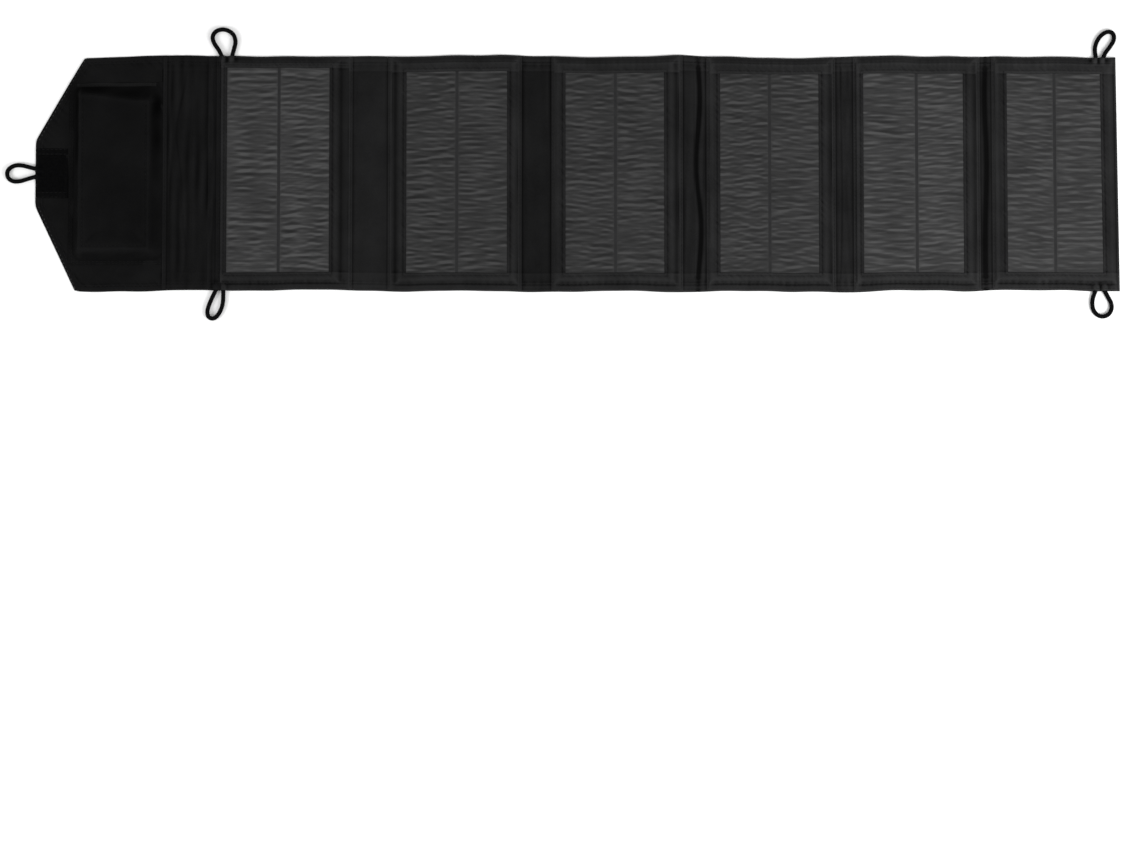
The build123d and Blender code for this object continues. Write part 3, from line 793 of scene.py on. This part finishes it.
wire_low, wire_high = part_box("spine_1_wires")
wire_lines = (wire_low.y + 1.5 * mm, wire_high.y - 1.5 * mm)
for place, (slack, pitch, gloom, creases) in spine_looks.items():
    spine_low, spine_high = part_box(f"spine_{place}_fabric")
    fold_left, fold_right = spine_low.x - fold_gap, spine_high.x + fold_gap
    spine_width = fold_right - fold_left
    centre = (fold_left + fold_right) / 2
    lap_edges = (
        fold_left - lap - lap_over,
        fold_right + lap_over + (band_reach if place == 0 else lap),
    )

    def crease_depth(x, y):
        """How far the spine's creases sink below its cloth."""
        depth_there = 0 * x
        for share, depth, spread in creases:
            wander = -0.09 * spine_width * waver(0 * x, y, 90 * mm, 320 + place)
            depth_there = depth_there + seam(x - fold_left - share * spine_width - wander, depth, spread)
        return depth_there

    def spine_top(x, y):
        """The spine's upper cloth: slack ridges along it, creases, and a lapped edge on each side."""
        inside = np.minimum(x - fold_left, fold_right - x)
        ridges = waver(x, y, pitch, 300 + place, 9) + 0.2
        height = spine_height + slack * ridges * rise(inside, 0.5 * mm, 3 * mm)
        over_wire = np.minimum(np.abs(y - wire_lines[0]), np.abs(y - wire_lines[1]))
        height = height - crease_depth(x, y) * rise(over_wire, 2.5 * mm, 6 * mm)
        height = height + lap_step * rise(-inside, 0.2 * mm, 1.6 * mm)
        if place == 0:
            band = rise(x - fold_right, -band_start - 0.4 * mm, -band_start + 0.4 * mm)
            height = height + band_height * band * (1 - 0.6 * rise(x - fold_right, 0, 1 * mm))
        height = height - seam(inside + lap - lap_seam, 0.2 * mm, 0.5 * mm)
        beyond = np.maximum(y - tape_high, tape_low - y)
        height = height + binding_step * rise(beyond, -0.3 * mm, 0.3 * mm)
        height = np.maximum(long_edges(x, y, height, 340 + place), 0.3 * mm)
        height = np.where(inside > 0, np.minimum(height, spine_limit), height) + cord_bulge(x, y)
        turned_under = (x < lap_edges[0] - 0.05 * mm) | (x > lap_edges[1] + 0.05 * mm)
        return np.where(turned_under, np.minimum(height, 0.85 * mm), height)

    def is_tape(x, y):
        return (y > tape_high) | (y < tape_low)

    halves = (
        ("left", lap_edges[0] - allowance, centre, neighbours[place][0], f"spine_{place}", fold_left),
        ("right", centre, lap_edges[1] + allowance, f"spine_{place}", neighbours[place][1], fold_right),
    )
    for side, low_x, high_x, first, second, fold in halves:
        places = {low_x, high_x, fold - bend_reach, fold + bend_reach}
        for edge, away in zip(lap_edges, (-1, 1)):
            places.update({edge, edge + away * 0.1 * mm})
        inside = sorted(place_x for place_x in places if low_x <= place_x <= high_x)
        x, y = np.meshgrid(stops(spine_grain, *inside), across_lines(tape_low, tape_high), indexing="ij")
        # Each half is darkened with painted shade: its spine's own, more in its creases, and at the far edge.
        half = cloth_piece(
            f"spine_{place}_{side}_cloth", x, y, spine_top(x, y), np.zeros_like(x),
            [lining, lining] if place == 0 else [canvas, binding], paint=is_tape,
            shade=gloom + crease_depth(x, y) / (1.6 * mm) + edge_shade(y),
        )
        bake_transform(half)
    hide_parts(f"spine_{place}_fabric")

    seam_runs = (lap_edges[0] + lap_over + lap_seam, lap_edges[1] - lap_over - lap_seam)
    for body, x_run in zip(neighbours[place], seam_runs):
        ends = ((x_run, near_edge + end_clear), (x_run, far_edge - end_clear))
        stitching(f"spine_{place}_{body}_seam", [ends], spine_top, body)
    inner = double_rows(fold_left + bend_reach, fold_right - bend_reach)
    stitching(f"spine_{place}_stitching", inner, spine_top, f"spine_{place}")


# ---- Flap ----
# Two cloths cut to a blunt point and sewn together with a narrow turned hem. It was cut a little
# askew, so its far shoulder stands further from the tip than its near one.
flap_low, flap_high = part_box("flap_back_cover")
tip_half = 26.5 * mm
tip_corner = 3 * mm
hem = 5.5 * mm
hem_seam = hem - 1.2 * mm
outer_seam = 1.6 * mm
flap_thickness = 1.0 * mm
hem_step = 0.3 * mm
flap_slack = 0.35 * mm
far_shoulder = 38.8 * mm
near_shoulder = 32.5 * mm


def flap_reach(x, shoulder):
    """The flap's half width, straight out from the tip to a shoulder and then level."""
    from_tip = x - tip_x
    slope = tip_half + (far_edge - tip_half) * np.clip(from_tip / shoulder, 0, 1)
    blunted = seam(from_tip - shoulder, 0.6 * mm, 2.4 * mm)
    return slope - blunted - tip_corner + rolled_edge(tip_corner, from_tip, tip_corner, 0)


def slant_distance(x, y):
    """The distance in from the nearest of the flap's outer edges."""
    to_slants = []
    for side, shoulder in ((1, far_shoulder), (-1, near_shoulder)):
        rise_to = far_edge - tip_half
        lean = math.hypot(shoulder, rise_to)
        gap = (tip_half + (x - tip_x) * rise_to / shoulder - side * y) * shoulder / lean
        to_slants.append(np.where(side * y > 0, gap, 1))
    return np.minimum.reduce([x - tip_x, far_edge - np.abs(y), *to_slants])


def flap_height(x, y):
    """The lining's top, with the hem turned over it and the cloth slack between."""
    inward = slant_distance(x, y)
    height = flap_thickness + hem_step * (1 - rise(inward, hem - 0.3 * mm, hem + 0.3 * mm))
    height = height - seam(inward - hem_seam) - seam(inward - outer_seam, 0.15 * mm)
    height = height + pucker(inward - hem, x + y, 400)
    slack = flap_slack * (waver(x, y, 24 * mm, 401, 1.6) + 0.3)
    height = height + slack * rise(inward, hem, hem + 9 * mm)
    height = rolled_edge(np.maximum(height, 0.3 * mm), inward, 1.3 * mm, 0.3 * mm)
    return tucked_edge(height, flap_high.x - x) + cord_bulge(x, y)


x_lines = stops(
    grain, tip_x, tip_x + tip_corner, tip_x + near_shoulder, tip_x + far_shoulder, flap_high.x
)
shares = stops(0.0062, -1, -0.99, -0.94, -0.86, 0.86, 0.94, 0.99, 1)
x, share = np.meshgrid(x_lines, shares, indexing="ij")
y = share * np.where(share > 0, flap_reach(x, far_shoulder), flap_reach(x, near_shoulder))
flap_piece = cloth_piece("flap_cloth", x, y, flap_height(x, y), np.zeros_like(x), [lining])
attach(flap_piece, "flap")
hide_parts("flap_back_cover", "flap_lining")

# The slanted edges are whipped with a paler thread that shows as specks along them.
whipping = woven_finish(
    "whipping_thread", (0.04, 0.04, 0.0404), (0.12, 0.12, 0.1215), pitch=0.2 * mm, roughness=0.5,
    sheen=0.01,
)
hem_runs, slant_runs = [], []
for side, shoulder in ((1, far_shoulder), (-1, near_shoulder)):
    for depth, rows in ((outer_seam, slant_runs), (hem_seam, hem_runs)):
        start = (tip_x + depth + 0.6 * depth, side * (tip_half - 0.35 * depth))
        corner = (tip_x + shoulder + 0.5 * depth, side * (far_edge - depth))
        rows.append((start, corner))
        hem_runs.append((corner, (flap_high.x - lap - lap_over, side * (far_edge - depth))))
for depth in (outer_seam, hem_seam):
    hem_runs.append(((tip_x + depth, end_clear - tip_half), (tip_x + depth, tip_half - end_clear)))
stitching("flap_stitching", hem_runs, flap_height, "flap")
stitching("flap_whipping", slant_runs, flap_height, "flap", length=1.3 * mm, gap=2.2 * mm, finish=whipping)


# ---- Closing patch ----
# Moulded nylon hook tape, its stiff backing sewn to the flap's tip along both ends. It grips the
# brushed loop patch on the back of panel 2 when the blanket is rolled.
patch_border = 1.6 * mm
patch_base_z = 1.0 * mm
patch_top_z = 1.45 * mm
end_bar = 5 * mm
eased_edge = 0.4 * mm
hook_pitch = 1.15 * mm
hook_reach = 0.55 * mm
hook_thick = 0.2 * mm


def tape_finish(name, dark, light, roughness):
    """Black nylon tape: fine ribs across it, and a slightly uneven dull surface."""
    finish, tree, shader = new_finish(name, Roughness=roughness, Specular_IOR_Level=0.02)
    place = own_place(tree)
    ribs = add_node(
        tree, "ShaderNodeTexWave", {"Vector": place, "Scale": 420, "Distortion": 1.2}, bands_direction="Y"
    ).outputs["Fac"]
    grainy = add_share(tree, ribs, 0.4, noise(tree, place, 900, 3))
    colour = colour_by(tree, grainy, (0.35, dark), (1, light))
    give_surface(tree, shader, colour, grainy, 0.6, 0.15 * mm)
    return finish


def ribbons(runs, width, thickness):
    """Points and faces of many small square-section ribbons, each bent along its own line of points."""
    places, faces = [], []
    base = 0
    for run in runs:
        run = np.asarray(run)
        heading = np.gradient(run, axis=0)
        flat_way = np.cross(heading, (0, 0, 1.0)) + 1e-9
        side = flat_way / np.linalg.norm(flat_way, axis=1)[:, None]
        side[:] = side.mean(axis=0) / np.linalg.norm(side.mean(axis=0))
        normal = np.cross(side, heading)
        normal /= np.linalg.norm(normal, axis=1)[:, None]
        corners = [
            run + side * across * width / 2 + normal * over * thickness / 2
            for across, over in ((-1, -1), (-1, 1), (1, 1), (1, -1))
        ]
        places.append(np.stack(corners, axis=1).reshape(-1, 3))
        faces.extend([corner + base for corner in face] for face in tube_faces(len(run), 4))
        base += 4 * len(run)
    return np.concatenate(places), faces


def hook_field(name, x_range, y_range, base_z, material, seed):
    """Rows of small moulded hooks standing on a tape, each leaning over at its top."""
    chance = np.random.default_rng(seed)
    runs = []
    for row, y in enumerate(np.arange(y_range[0], y_range[1], hook_pitch)):
        for x in np.arange(x_range[0] + (row % 2) * hook_pitch / 2, x_range[1], hook_pitch):
            turn = chance.uniform(-0.3, 0.3) + (math.pi if row % 2 else 0)
            lean = (math.cos(turn), math.sin(turn))
            size = hook_reach * chance.uniform(0.85, 1.1)
            profile = ((0, -0.05), (0, 0.55), (0.18, 0.95), (0.5, 1.0), (0.68, 0.68))
            foot = base_z + float(cord_bulge(np.array(x), np.array(y)))
            runs.append([
                (x + lean[0] * out * size, y + lean[1] * out * size, foot + high * size)
                for out, high in profile
            ])
    places, faces = ribbons(runs, hook_thick, hook_thick)
    return make_piece(name, places, faces, [material], sharp=40)


def tape_base(name, x_range, y_range, low_z, high_z, material, edge_lift=0.0):
    """A strip of tape with eased edges, a sewn line near its ends and a slightly uneven surface."""
    lines = [
        stops(0.6 * mm, low, low + eased_edge, high - eased_edge, high) for low, high in (x_range, y_range)
    ]
    x, y = np.meshgrid(*lines, indexing="ij")
    from_end = np.minimum(y - y_range[0], y_range[1] - y)
    border = -outside(x, y, x_range, y_range)
    eased = (high_z - low_z) * 0.45 * (1 - rise(border, 0, eased_edge))
    top = high_z - eased - seam(border - patch_border / 2, 0.12 * mm, 0.4 * mm) * rise(border, 0, 0.3 * mm)
    top = top + edge_lift * (1 - rise(from_end, end_bar - 0.8 * mm, end_bar))
    lift = cord_bulge(x, y)
    return cloth_piece(name, x, y, top + lift, low_z + lift, [material])


hook_tape = tape_finish("hook_tape", (0.0008, 0.0008, 0.0009), (0.0034, 0.0034, 0.0036), 0.75)
patch_low, patch_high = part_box("tip_hook_patch")
hook_base = tape_base(
    "closing_hook_tape", (patch_low.x + 0.4 * mm, patch_high.x), (patch_low.y, patch_high.y),
    patch_base_z, patch_top_z, hook_tape, edge_lift=0.25 * mm,
)
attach(hook_base, "flap")
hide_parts("tip_hook_patch")
hooks = hook_field(
    "closing_hooks", (patch_low.x + 2.6 * mm, patch_high.x - 2.2 * mm),
    (patch_low.y + end_bar + 0.6 * mm, patch_high.y - end_bar - 0.2 * mm), patch_top_z - 0.03 * mm,
    hook_tape, 500,
)
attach(hooks, "flap")


def patch_height(x, y):
    return patch_top_z + 0.17 * mm + cord_bulge(x, y)


patch_runs = []
for inset in (patch_border / 2, end_bar - 0.6 * mm):
    for y_run in (patch_low.y + inset, patch_high.y - inset):
        patch_runs.append(((patch_low.x + 1 * mm, y_run), (patch_high.x - 0.6 * mm, y_run)))
stitching("closing_patch_stitching", patch_runs, patch_height, "flap")

# The loop half is a brushed nylon pile, set in an opening of the back cloth and sewn round.
loop_tape = tape_finish("brushed_loop_tape", (0.003, 0.003, 0.0035), (0.016, 0.016, 0.017), 0.9)
loop_low, loop_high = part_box("panel_2_loop_patch")
x_lines = stops(0.7 * mm, loop_low.x, loop_high.x)
y_lines = stops(0.7 * mm, loop_low.y, loop_high.y)
x, y = np.meshgrid(x_lines, y_lines, indexing="ij")
lumpy = 0.12 * mm * (1 + waver(x, y, 2.2 * mm, 510)) / 2
loop_base = cloth_piece(
    "closing_loop_tape", x, y, np.full_like(x, cloth), np.clip(lumpy, 0.02 * mm, 0.25 * mm), [loop_tape]
)
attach(loop_base, "panel_2")
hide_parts("panel_2_loop_patch")
chance = np.random.default_rng(511)
pile = []
for y_root in np.arange(loop_low.y + 1 * mm, loop_high.y - 0.8 * mm, 1.0 * mm):
    for x_root in np.arange(loop_low.x + 1 * mm, loop_high.x - 0.8 * mm, 1.0 * mm):
        x_at, y_at = (x_root, y_root) + chance.uniform(-0.35, 0.35, 2) * mm
        turn = chance.uniform(0, math.pi)
        wide, tall = chance.uniform(0.3, 0.5) * mm, chance.uniform(0.2, 0.4) * mm
        arc = [
            (x_at + math.cos(turn) * wide * math.cos(angle), y_at + math.sin(turn) * wide * math.cos(angle),
             0.08 * mm - tall * math.sin(angle))
            for angle in np.linspace(0, math.pi, 6)
        ]
        pile.append(arc)
places, faces = ribbons(pile, 0.09 * mm, 0.09 * mm)
loop_pile = make_piece("closing_loops", places, faces, [loop_tape], sharp=80)
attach(loop_pile, "panel_2")


# ---- Pocket ----
# A boxed pouch of softer cloth, its flange sewn flat to the lining on three sides. Its roof is held up
# along its seams, rests on the regulator's case, sags beyond it, and is open toward the far side.
pouch_low, pouch_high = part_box("pocket_pouch")
pouch_thickness = 0.6 * mm
base_inset = (4 * mm, 2.2 * mm, 4 * mm)
roof_inset = (10.5 * mm, 12.4 * mm, 12 * mm)
mouth_y = 73.2 * mm
bound_width = 2.8 * mm
ridge = 0.08 * mm
roof_sag = 2.6 * mm
wide_lumps = 0.45 * mm
fine_lumps = 0.25 * mm
roof_seam = 2.4 * mm
flange_seams = (1.1 * mm, 3.0 * mm)
pouch_cloth = woven_finish(
    "pocket_cloth", (0.0036, 0.0036, 0.0037), (0.0085, 0.0085, 0.0087), pitch=0.5 * mm, roughness=0.85,
    sheen=0.006,
)
base_x = (pouch_low.x + base_inset[0], pouch_high.x - base_inset[1])
roof_x = (pouch_low.x + roof_inset[0], pouch_high.x - roof_inset[1])
base_y = (pouch_low.y + base_inset[2], pouch_high.y + 0.5 * mm)
roof_y = (pouch_low.y + roof_inset[2], 58 * mm)
flange_z = 1.5 * mm
roof_z = pouch_high.z - 0.3 * mm


def pouch_share(x, y):
    """0 at the foot of the pouch's sides and 1 from the edge of its roof inward."""
    left = (x - base_x[0]) / (roof_x[0] - base_x[0])
    right = (base_x[1] - x) / (base_x[1] - roof_x[1])
    roof_far = roof_y[1] - 1 * mm + 5 * mm * rise(-x, 0.35, 0.395)
    ends = np.minimum((y - base_y[0]) / (roof_y[0] - base_y[0]), (base_y[1] - y) / (base_y[1] - roof_far))
    beside = np.minimum(left, right)
    return 1 - np.hypot(np.clip(1 - beside, 0, 2), np.clip(1 - ends, 0, 2))


def pouch_height(x, y):
    """The pouch's outer surface: flange, leaning sides with a seam ridge on top, and the roof."""
    share = pouch_share(x, y)
    climb = np.clip(share, 0, 1)
    hollow = 0.13 + 0.14 * rise(y, 20 * mm, 62 * mm)
    climb = climb - hollow * np.sin(math.pi * climb) * (1 + 0.5 * waver(x, y, 30 * mm, 600))
    height = flange_z + (roof_z - flange_z) * climb
    past = np.minimum.reduce([x - roof_x[0], roof_x[1] - x, y - roof_y[0]])
    height = height - roof_sag * rise(-y, 8 * mm, 34 * mm) * rise(past, 0, 16 * mm)
    lumps = wide_lumps * waver(x, y, 34 * mm, 601, 1.6) + fine_lumps * waver(x, y, 13 * mm, 602, 2.2)
    height = height + lumps * rise(past, 1 * mm, 9 * mm) * rise(-y, -2 * mm, 20 * mm)
    height = height + seam(past - 0.4 * mm, ridge) * (share > 0.8) * (y < roof_y[1])
    height = height - seam(past - roof_seam, 0.3 * mm, 0.7 * mm) * (share > 0.99)
    height = height + pucker(past - roof_seam, x + y, 603) * (share > 0.99)
    flange = np.minimum.reduce([x - pouch_low.x, pouch_high.x - x, y - pouch_low.y])
    on_flange = 1 - rise(share, -0.05, 0.05)
    height = height - (seam(flange - flange_seams[0]) + seam(flange - flange_seams[1], 0.15 * mm)) * on_flange
    bound = 1 - rise(mouth_y - y, bound_width - 0.2 * mm, bound_width + 0.2 * mm)
    return height + 0.22 * mm * bound * rise(past, -1 * mm, 0.5 * mm)


x_lines = stops(
    0.6 * mm, pouch_low.x, base_x[0], roof_x[0], roof_x[0] + 3 * mm, roof_x[1] - 3 * mm, roof_x[1],
    base_x[1], pouch_high.x,
)
shares = stops(0.005, 0, 0.03, 0.09, 0.12, 0.89, 1)
x, share = np.meshgrid(x_lines, shares, indexing="ij")
side_share = np.clip(pouch_share(x, 0 * x), 0, 1)
lip_y = pouch_high.y - (pouch_high.y - mouth_y) * rise(side_share, 0, 0.5)
lip_y = lip_y + 0.4 * mm * waver(x, 0 * x, 40 * mm, 604) * side_share
y = pouch_low.y + share * (lip_y - pouch_low.y)
top = pouch_height(x, y)
climb = np.clip(pouch_share(x, y), 0, 1)
# Painted shade on the pouch's sloping sides, strongest halfway up them.
sunk = np.sin(math.pi * climb)
thin = pouch_thickness * (0.45 + 0.55 * rise(np.abs(climb - 0.5), 0.4, 0.5))


def is_bound(x, y):
    return (y > mouth_y - bound_width) & (np.minimum(x - roof_x[0], roof_x[1] - x) > -4 * mm)


# The pouch's painted ridge highlights and groove shade are toned down, and painted shade darkens its sides,
# more toward the far side.
pouch = cloth_piece(
    "pocket_pouch_cloth", x, y, top, np.maximum(top - thin, 1.0 * mm), [pouch_cloth, binding],
    paint=is_bound, shade=0.6 * (cavity(top) - 0.5) + 0.3 * sunk * rise(y, -20 * mm, 30 * mm),
)
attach(pouch, "flap")
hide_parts("pocket_pouch")

left_flange = [pouch_low.x + depth for depth in flange_seams]
pocket_runs = [
    ((x_run, pouch_low.y + 1 * mm), (x_run, pouch_high.y - 1 * mm))
    for x_run in (*left_flange, pouch_high.x - flange_seams[0])
]
pocket_runs += [
    ((pouch_low.x + 3 * mm, pouch_low.y + depth), (pouch_high.x - 3 * mm, pouch_low.y + depth))
    for depth in flange_seams
]
seam_x = (roof_x[0] + roof_seam, roof_x[1] - roof_seam)
seam_y = roof_y[0] + roof_seam
pocket_runs += [((x_run, seam_y), (x_run, roof_y[1] - 2 * mm)) for x_run in seam_x]
pocket_runs.append(((seam_x[0], seam_y), (seam_x[1], seam_y)))
bound_y = mouth_y - 2.2 * mm
pocket_runs.append(((roof_x[0] + 1 * mm, bound_y), (roof_x[1] - 1 * mm, bound_y)))
stitching("pocket_stitching", pocket_runs, pouch_height, "flap", length=2.2 * mm)

# The mouth closes with a strip of hook tape on the lining and one of loop tape under the roof.
mouth_low, mouth_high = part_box("pocket_mouth_tapes")
mouth = ((mouth_low.x, mouth_high.x), (mouth_low.y, mouth_high.y))
lower_tape = tape_base("mouth_hook_tape", *mouth, 0.95 * mm, 1.3 * mm, hook_tape)
upper_tape = tape_base("mouth_loop_tape", *mouth, 9.35 * mm, 9.75 * mm, loop_tape)
mouth_hooks = hook_field(
    "mouth_hooks", (mouth_low.x + 1.4 * mm, mouth_high.x - 1.4 * mm),
    (mouth_low.y + 1.2 * mm, mouth_high.y - 1 * mm), 1.28 * mm, hook_tape, 520,
)
for piece, slot in ((lower_tape, "hook_tape"), (upper_tape, "loop_tape"), (mouth_hooks, "hook_tape")):
    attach(piece, "flap")
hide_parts("pocket_mouth_tapes")


# ---- Hard parts and conductors ----
# Moulded and stamped parts keep their designed shapes: the stiff boards and cells inside the panels,
# the tinned copper between them, and the regulator's case, board, socket and screws in the pocket.
def solid_finish(name, dark, light, scale, relief, stretch=(1, 1, 1), **values):
    """A hard material with fine uneven colour, wear and relief, drawn out along one way if stretched."""
    finish, tree, shader = new_finish(name, **values)
    place = own_place(tree)
    drawn = add_node(tree, "ShaderNodeMapping", {"Vector": place, "Scale": stretch})
    fine = noise(tree, drawn.outputs["Vector"], scale, 4)
    broad = noise(tree, place, 120, 3)
    colour = colour_by(tree, add_share(tree, broad, 0.5, fine), (0.45, dark), (1, light))
    even = values["Roughness"]
    rough = add_node(
        tree, "ShaderNodeMapRange", {"Value": broad, "To Min": even - 0.08, "To Max": even + 0.1}
    )
    tree.links.new(rough.outputs["Result"], shader.inputs["Roughness"])
    give_surface(tree, shader, colour, fine, 0.4, relief)
    return finish


moulded = solid_finish(
    "moulded_case", (0.010, 0.010, 0.011), (0.030, 0.030, 0.031), 1400, 0.06 * mm, Roughness=0.5
)
mask = solid_finish(
    "solder_mask", (0.006, 0.045, 0.018), (0.02, 0.11, 0.045), 500, 0.04 * mm, Roughness=0.35
)
plated = solid_finish(
    "plated_steel", (0.42, 0.42, 0.43), (0.66, 0.66, 0.67), 700, 0.02 * mm, (1, 0.08, 1), Roughness=0.3,
    Metallic=1.0,
)
zinc = solid_finish(
    "zinc_plated_steel", (0.34, 0.34, 0.35), (0.55, 0.55, 0.56), 900, 0.02 * mm, Roughness=0.35,
    Metallic=1.0,
)
tongue = solid_finish(
    "tongue_moulding", (0.010, 0.010, 0.011), (0.024, 0.024, 0.025), 900, 0.03 * mm, Roughness=0.4
)
copper = solid_finish(
    "tinned_copper", (0.45, 0.33, 0.25), (0.72, 0.55, 0.42), 600, 0.02 * mm, (0.05, 1, 1), Roughness=0.35,
    Metallic=1.0,
)
board = solid_finish(
    "glass_fibre_board", (0.03, 0.03, 0.028), (0.075, 0.075, 0.07), 800, 0.08 * mm, (1, 0.15, 1),
    Roughness=0.65,
)
cell = solid_finish(
    "silicon_cell", (0.008, 0.009, 0.016), (0.022, 0.024, 0.036), 700, 0.02 * mm, (0.04, 1, 1),
    Roughness=0.25,
)
dressed = {
    "regulator_case_base": moulded, "regulator_case_lid": moulded, "regulator_board": mask,
    "usb_socket": plated, "usb_tongue": tongue, "regulator_screws": zinc, "charge_lead_flap": copper,
}
for number in range(1, 7):
    dressed[f"panel_{number}_board"] = board
    dressed[f"panel_{number}_cells"] = cell
for place in range(6):
    dressed[f"spine_{place}_wires"] = copper
for node, finish in dressed.items():
    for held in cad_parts[node].material_slots:
        held.material = finish
